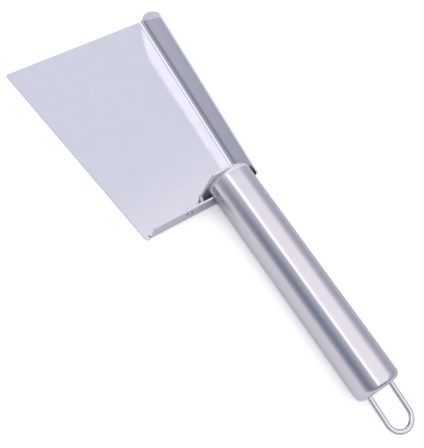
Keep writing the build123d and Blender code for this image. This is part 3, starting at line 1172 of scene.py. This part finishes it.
@dataclass
class Welds:
    """Three short runs of weld with a torch's ripples, and the ring at the bulkhead, ground smooth."""

    ripple_pitch: float = 0.9
    ripple_depth: float = 0.09
    bead_r: float = 1.1
    foot_leg: float = 1.6
    half_run: float = 4.0
    ring_start: float = 0.4
    ring_r: float = 12.0
    ring_chamfer: float = 0.3
    foot_fade: float = 1.2
    foot_end_size: float = 0.8
    foot_bulge: float = 0.6
    foot_sink: float = 0.05

    def ripples(self, distance: np.ndarray) -> np.ndarray:
        """Share of full size along a run: overlapping scallops, |sin| of the distance."""
        return 1 - self.ripple_depth * (1 - np.abs(np.sin(math.pi * distance / self.ripple_pitch)))

    def capsule(self, run: float) -> tuple[np.ndarray, np.ndarray]:
        """Places along a run and the radius there: a rippled rod with round ends.

        Args:
            run: length between the round ends' centres.

        Returns:
            The places and their radii.
        """
        turn = np.linspace(0, math.pi / 2, 9)
        first = -self.bead_r * np.cos(turn)
        middle = np.linspace(0, run, max(int(run / self.ripple_pitch * 10), 20))
        last = run + self.bead_r * np.sin(turn)
        place = np.concatenate([first, middle[1:-1], last])
        size = np.concatenate([np.sin(turn), np.ones(len(middle) - 2), np.cos(turn)])
        return place, size * self.bead_r * self.ripples(place)

    def blade_bead(self) -> bpy.types.Object:
        """Bead under the tube, along the blade's rear edge, kept above the underside.

        Returns:
            The finished piece.
        """
        low, high = box_mm("blade_weld_bead")
        place, radius = self.capsule(2 * self.half_run)
        ring = circle(1.0, 28)
        x = (place - self.half_run)[:, None] + 0 * ring[None, :, 0]
        y = high[1] + radius[:, None] * ring[None, :, 0]
        z = np.maximum(SHEET + radius[:, None] * ring[None, :, 1], low[2])
        grid = np.stack([x, y, z], axis=-1)
        piece = make_piece("tube_to_blade_weld", [Patch(grid, wrap_columns=True)])
        return dress(piece, BRUSHED_WELD, Body.SPATULA, ["blade_weld_bead"])

    def wall_bead(self) -> bpy.types.Object:
        """Upright bead between the tube's side and the wall's rear end.

        Returns:
            The finished piece.
        """
        low, high = box_mm("wall_weld_bead")
        run = float(high[2] - low[2]) - 2 * self.bead_r
        place, radius = self.capsule(run)
        ring = circle(1.0, 28)
        centre_x = float(high[0]) - self.bead_r
        x = centre_x + radius[:, None] * ring[None, :, 0]
        y = np.minimum(high[1] + radius[:, None] * ring[None, :, 1], high[1])
        z = (low[2] + self.bead_r + place)[:, None] + 0 * ring[None, :, 0]
        grid = np.stack([x, y, z], axis=-1)
        piece = make_piece("tube_to_wall_weld", [Patch(grid, wrap_columns=True)])
        return dress(piece, BRUSHED_WELD, Body.SPATULA, ["wall_weld_bead"])

    def foot_bead(self) -> bpy.types.Object:
        """Fillet bead along the foot of the bulkhead: a rippled round-fronted triangle.

        Returns:
            The finished piece.
        """
        low, high = box_mm("bracket_weld_bead")
        run = np.linspace(low[0], high[0], 260)
        fade = np.clip(np.minimum(run - low[0], high[0] - run) / self.foot_fade, 0, 1)
        size = self.foot_leg * self.ripples(run) * np.sqrt(1 - (1 - fade) ** 2 * self.foot_end_size)
        face = arc((0.0, 0.0), 1.0, 0, 90)
        bulge = face / (face.sum(axis=1, keepdims=True) ** self.foot_bulge)
        section = np.concatenate([bulge, [[-self.foot_sink, 0.0]]])
        y = low[1] + size[:, None] * section[None, :, 0]
        z = SHEET + size[:, None] * section[None, :, 1]
        x = np.broadcast_to(run[:, None], y.shape)
        grid = close_ends(np.stack([x, y, z], axis=-1))
        piece = make_piece("bracket_foot_weld", [Patch(grid, wrap_columns=True)])
        return dress(piece, BRUSHED_WELD, Body.SPATULA, ["bracket_weld_bead"])

    def ring(self, handle: Handle) -> bpy.types.Object:
        """Ground weld ring that fills the groove between the front cap and the bulkhead.

        Its section is bounded by the cap's rounded edge, an almost level outside and a chamfer.

        Args:
            handle: the handle that it goes round.

        Returns:
            The finished piece.
        """
        edge_r = handle.front_edge_r
        centre = (handle.front_y - edge_r, handle.radius - edge_r)
        first = math.degrees(math.acos(self.ring_start / edge_r))
        cap_side = arc(centre, edge_r, first, 0)
        outside = np.array(
            [
                [handle.front_y, self.ring_r - self.ring_chamfer],
                [handle.front_y - self.ring_chamfer, self.ring_r],
            ]
        )
        section = np.concatenate([cap_side, outside])
        grid = turned(section[:, 0], section[:, 1], handle.axis, handle.angles())
        piece = make_piece("ground_weld_ring", [Patch(grid, wrap_rows=True, wrap_columns=True)])
        return dress(piece, GROUND_STEEL, Body.SPATULA, ["bulkhead_weld_ring"])

    def build(self, handle: Handle) -> list[bpy.types.Object]:
        """Builds the three runs and the ring."""
        return [self.blade_bead(), self.wall_bead(), self.foot_bead(), self.ring(handle)]


# ---- studio ----------------------------------------------------------------------------


@dataclass(frozen=True)
class Studio:
    """Pale floor, a soft overhead light bank with darker sides, and the camera."""

    floor_size: float = 6.0
    floor_colour: str = "#F7F7F8"
    floor_right_colour: str = "#D4D4D8"
    floor_turn: tuple[float, float] = (0.0, 0.06)
    floor_glow: float = 0.35
    sky_bands: tuple[tuple[float, str, float], ...] = (
        (-180.0, "#FFFFFF", 0.95),
        (-95.0, "#FFFFFF", 0.92),
        (-84.0, "#F4F4FF", 0.74),
        (-72.0, "#E0E4FF", 0.46),
        (-60.0, "#DCE2FF", 0.40),
        (-48.0, "#E2ECFF", 0.58),
        (-38.0, "#EAF0FF", 0.72),
        (-26.0, "#F0F4FF", 0.74),
        (-23.0, "#FFFAFC", 1.42),
        (40.0, "#FFFAFC", 1.42),
        (52.0, "#F4F2FF", 0.98),
        (64.0, "#F0EEFF", 0.74),
        (95.0, "#F4F2FF", 0.64),
        (110.0, "#FFFFFF", 0.80),
        (180.0, "#FFFFFF", 0.95),
    )
    ahead_bands: tuple[tuple[float, str, float], ...] = (
        (-180.0, "#FFFFFF", 0.95),
        (-62.0, "#F4F4FF", 0.70),
        (-46.0, "#F6F7FF", 1.02),
        (-29.0, "#F6F7FF", 1.02),
        (-26.5, "#FFFAF6", 2.85),
        (-17.0, "#FFFAF6", 2.85),
        (-13.0, "#F6F7FF", 1.22),
        (42.0, "#F6F7FF", 1.22),
        (60.0, "#F4F4FF", 0.95),
        (180.0, "#FFFFFF", 0.95),
    )
    ahead_span: tuple[float, float] = (0.24, 0.36)
    horizon_span: tuple[float, float] = (0.80, 0.93)
    horizon_power: float = 0.35
    strip_deg: tuple[float, float] = (-24.5, -17.0)
    strip_edge_deg: float = 1.5
    strip_power: float = 1.0
    position_mm: tuple[float, float, float] = (-187.3, -126.6, 374.0)
    aim_mm: tuple[float, float, float] = (-16.4, -14.0, 0.0)
    roll_deg: float = 25.0
    lens_mm: float = 66.1
    sensor_mm: float = 36.0

    def floor(self) -> bpy.types.Object:
        """A large matt floor under the blade, a touch greyer to the right.

        A faint glow that only the camera sees keeps soft shadows near white.

        Returns:
            The floor.
        """
        span = np.linspace(-1, 1, 9) * self.floor_size / MM / 2
        x, y = np.meshgrid(span, span)
        grid = np.stack([x, y, np.full_like(x, FLOOR_DROP_MM)], axis=-1)
        piece = make_piece("studio_floor", [Patch(grid)])
        material = bpy.data.materials.new("matt_white_floor")
        material.use_nodes = True
        tree = material.node_tree
        tree.nodes.clear()
        place = add_node(tree, "ShaderNodeTexCoord").outputs["Object"]
        parts = add_node(tree, "ShaderNodeSeparateXYZ", links={0: place})
        turn = self.step(tree, parts.outputs[0], self.floor_turn)
        tint = add_node(
            tree,
            "ShaderNodeMix",
            {"data_type": "RGBA"},
            {6: linear(self.floor_colour), 7: linear(self.floor_right_colour)},
            {0: turn},
        )
        seen = add_node(tree, "ShaderNodeLightPath").outputs["Is Camera Ray"]
        glow = add_node(tree, "ShaderNodeMath", {"operation": "MULTIPLY"}, {1: self.floor_glow}, {0: seen})
        shader = add_node(
            tree,
            "ShaderNodeBsdfPrincipled",
            values={"Roughness": 1.0, "Specular IOR Level": 0.0, "Emission Color": linear("#FFFFFF")},
            links={"Base Color": tint.outputs[2], "Emission Strength": glow.outputs[0]},
        )
        add_node(tree, "ShaderNodeOutputMaterial", links={"Surface": shader.outputs[0]})
        piece.data.materials.append(material)
        return piece

    def step(
        self, tree: bpy.types.NodeTree, value: bpy.types.NodeSocket, span: Sequence[float]
    ) -> bpy.types.NodeSocket:
        """Rises smoothly from 0 at the span's start to 1 at its end.

        Args:
            tree: the node tree.
            value: what rises.
            span: its start and end.

        Returns:
            The share, 0 to 1.
        """
        share = add_node(
            tree,
            "ShaderNodeMapRange",
            {"interpolation_type": "SMOOTHSTEP"},
            {"From Min": span[0], "From Max": span[1], "To Min": 0.0, "To Max": 1.0},
            {"Value": value},
        )
        return share.outputs[0]

    def bands(
        self,
        tree: bpy.types.NodeTree,
        share: bpy.types.NodeSocket,
        bands: Sequence[tuple[float, str, float]],
    ) -> bpy.types.NodeSocket:
        """A ramp across the dome from left to right.

        Args:
            tree: the world's node tree.
            share: the angle from straight up, as a share of the full turn.
            bands: angle, colour and brightness of each stop.

        Returns:
            The ramp's colour.
        """
        ramp = add_node(tree, "ShaderNodeValToRGB", links={0: share})
        elements = ramp.color_ramp.elements
        while len(elements) < len(bands):
            elements.new(0.5)
        for element, (angle, colour, power) in zip(elements, bands):
            element.position = (angle + 180) / 360
            red, green, blue, _ = linear(colour)
            element.color = (red * power / SKY_PEAK, green * power / SKY_PEAK, blue * power / SKY_PEAK, 1.0)
        return ramp.outputs[0]

    def blend(
        self,
        tree: bpy.types.NodeTree,
        share: bpy.types.NodeSocket,
        first: bpy.types.NodeSocket,
        second: bpy.types.NodeSocket,
    ) -> bpy.types.NodeSocket:
        """Goes from the first colour to the second as the share rises from 0 to 1."""
        mix = add_node(tree, "ShaderNodeMix", {"data_type": "RGBA"}, links={0: share, 6: first, 7: second})
        return mix.outputs[2]

    def strip(
        self, tree: bpy.types.NodeTree, sky: bpy.types.NodeSocket, lean: bpy.types.NodeSocket
    ) -> bpy.types.NodeSocket:
        """Adds a narrow strip light that runs front to back, left of overhead.

        Args:
            tree: the world's node tree.
            sky: the colour so far.
            lean: the angle from straight up, towards X.

        Returns:
            The colour with the strip.
        """
        edge = math.radians(self.strip_edge_deg)
        start, end = (math.radians(turn) for turn in self.strip_deg)
        rise = self.step(tree, lean, (start, start + edge))
        fall = self.step(tree, lean, (end, end + edge))
        only = add_node(tree, "ShaderNodeMath", {"operation": "SUBTRACT"}, links={0: rise, 1: fall})
        tone = [channel * self.strip_power / SKY_PEAK for channel in linear("#FFFFFF")[:3]] + [1.0]
        add = add_node(
            tree,
            "ShaderNodeMix",
            {"data_type": "RGBA", "blend_type": "ADD"},
            {7: tone},
            {0: only.outputs[0], 6: sky},
        )
        return add.outputs[2]

    def sky(self) -> None:
        """Lights the scene from a dome whose brightness changes from left to right.

        The angle from straight up, towards X, picks the band. Only light sees the bands: where
        the camera looks past the floor it sees plain white.
        """
        world = bpy.data.worlds.new("studio_dome")
        bpy.context.scene.world = world
        world.use_nodes = True
        tree = world.node_tree
        tree.nodes.clear()
        way = add_node(tree, "ShaderNodeTexCoord").outputs["Generated"]
        parts = add_node(tree, "ShaderNodeSeparateXYZ", links={0: way})
        lean = add_node(
            tree, "ShaderNodeMath", {"operation": "ARCTAN2"}, links={0: parts.outputs[0], 1: parts.outputs[2]}
        )
        share = add_node(
            tree,
            "ShaderNodeMapRange",
            values={"From Min": -math.pi, "From Max": math.pi, "To Min": 0.0, "To Max": 1.0},
            links={"Value": lean.outputs[0]},
        )
        overhead = self.bands(tree, share.outputs[0], self.sky_bands)
        overhead = self.strip(tree, overhead, lean.outputs[0])
        ahead = self.bands(tree, share.outputs[0], self.ahead_bands)
        sky = self.blend(tree, self.step(tree, parts.outputs[1], self.ahead_span), overhead, ahead)
        backwards = add_node(
            tree, "ShaderNodeMath", {"operation": "MULTIPLY"}, {1: -1.0}, {0: parts.outputs[1]}
        )
        dim = add_node(tree, "ShaderNodeRGB")
        dim.outputs[0].default_value = [self.horizon_power / SKY_PEAK] * 3 + [1.0]
        sky = self.blend(tree, self.step(tree, backwards.outputs[0], self.horizon_span), sky, dim.outputs[0])
        lit = add_node(tree, "ShaderNodeBackground", values={"Strength": SKY_PEAK}, links={"Color": sky})
        plain = add_node(tree, "ShaderNodeBackground", values={"Color": linear("#FFFFFF"), "Strength": 1.0})
        seen = add_node(tree, "ShaderNodeLightPath").outputs["Is Camera Ray"]
        mix = add_node(
            tree, "ShaderNodeMixShader", links={0: seen, 1: lit.outputs[0], 2: plain.outputs[0]}
        )
        add_node(tree, "ShaderNodeOutputWorld", links={"Surface": mix.outputs[0]})

    def camera(self) -> bpy.types.Object:
        """The camera: looks from its position at its aim, turned by the roll about that line.

        Returns:
            The camera.
        """
        data = bpy.data.cameras.new("studio_camera")
        data.lens = self.lens_mm
        data.sensor_width = self.sensor_mm
        data.clip_start = 0.01
        camera = bpy.data.objects.new("studio_camera", data)
        bpy.context.scene.collection.objects.link(camera)
        position = Vector(self.position_mm) * MM
        ahead = (Vector(self.aim_mm) * MM - position).normalized()
        level = ahead.cross(Vector((0, 0, 1))).normalized()
        above = level.cross(ahead)
        roll = math.radians(self.roll_deg)
        right = level * math.cos(roll) + above * math.sin(roll)
        up = above * math.cos(roll) - level * math.sin(roll)
        turn = Matrix((right, up, -ahead)).transposed().to_4x4()
        camera.matrix_world = Matrix.Translation(position) @ turn
        bpy.context.scene.camera = camera
        return camera

    def build(self) -> None:
        """Sets up the floor, the dome, the camera and plain display colours."""
        self.floor()
        self.sky()
        self.camera()
        bpy.context.scene.view_settings.view_transform = "Standard"
        bpy.context.scene.cycles.max_bounces = STEEL_BOUNCES
        bpy.context.scene.cycles.glossy_bounces = STEEL_BOUNCES


def main() -> None:
    """Builds every sub-assembly in order."""
    logging.basicConfig(level=logging.INFO, format="%(name)s: %(message)s")
    handle = Handle()
    blade = BladePan()
    blade.build(handle.radius, handle.axis[1])
    Bracket().build(blade.rear_y, handle.axis[1] + handle.radius)
    handle.build()
    HangingLoop().build(handle.rear_y, handle.axis[1])
    Welds().build(handle)
    Studio().build()
    bpy.context.view_layer.update()


if __name__ == "__main__":
    main()
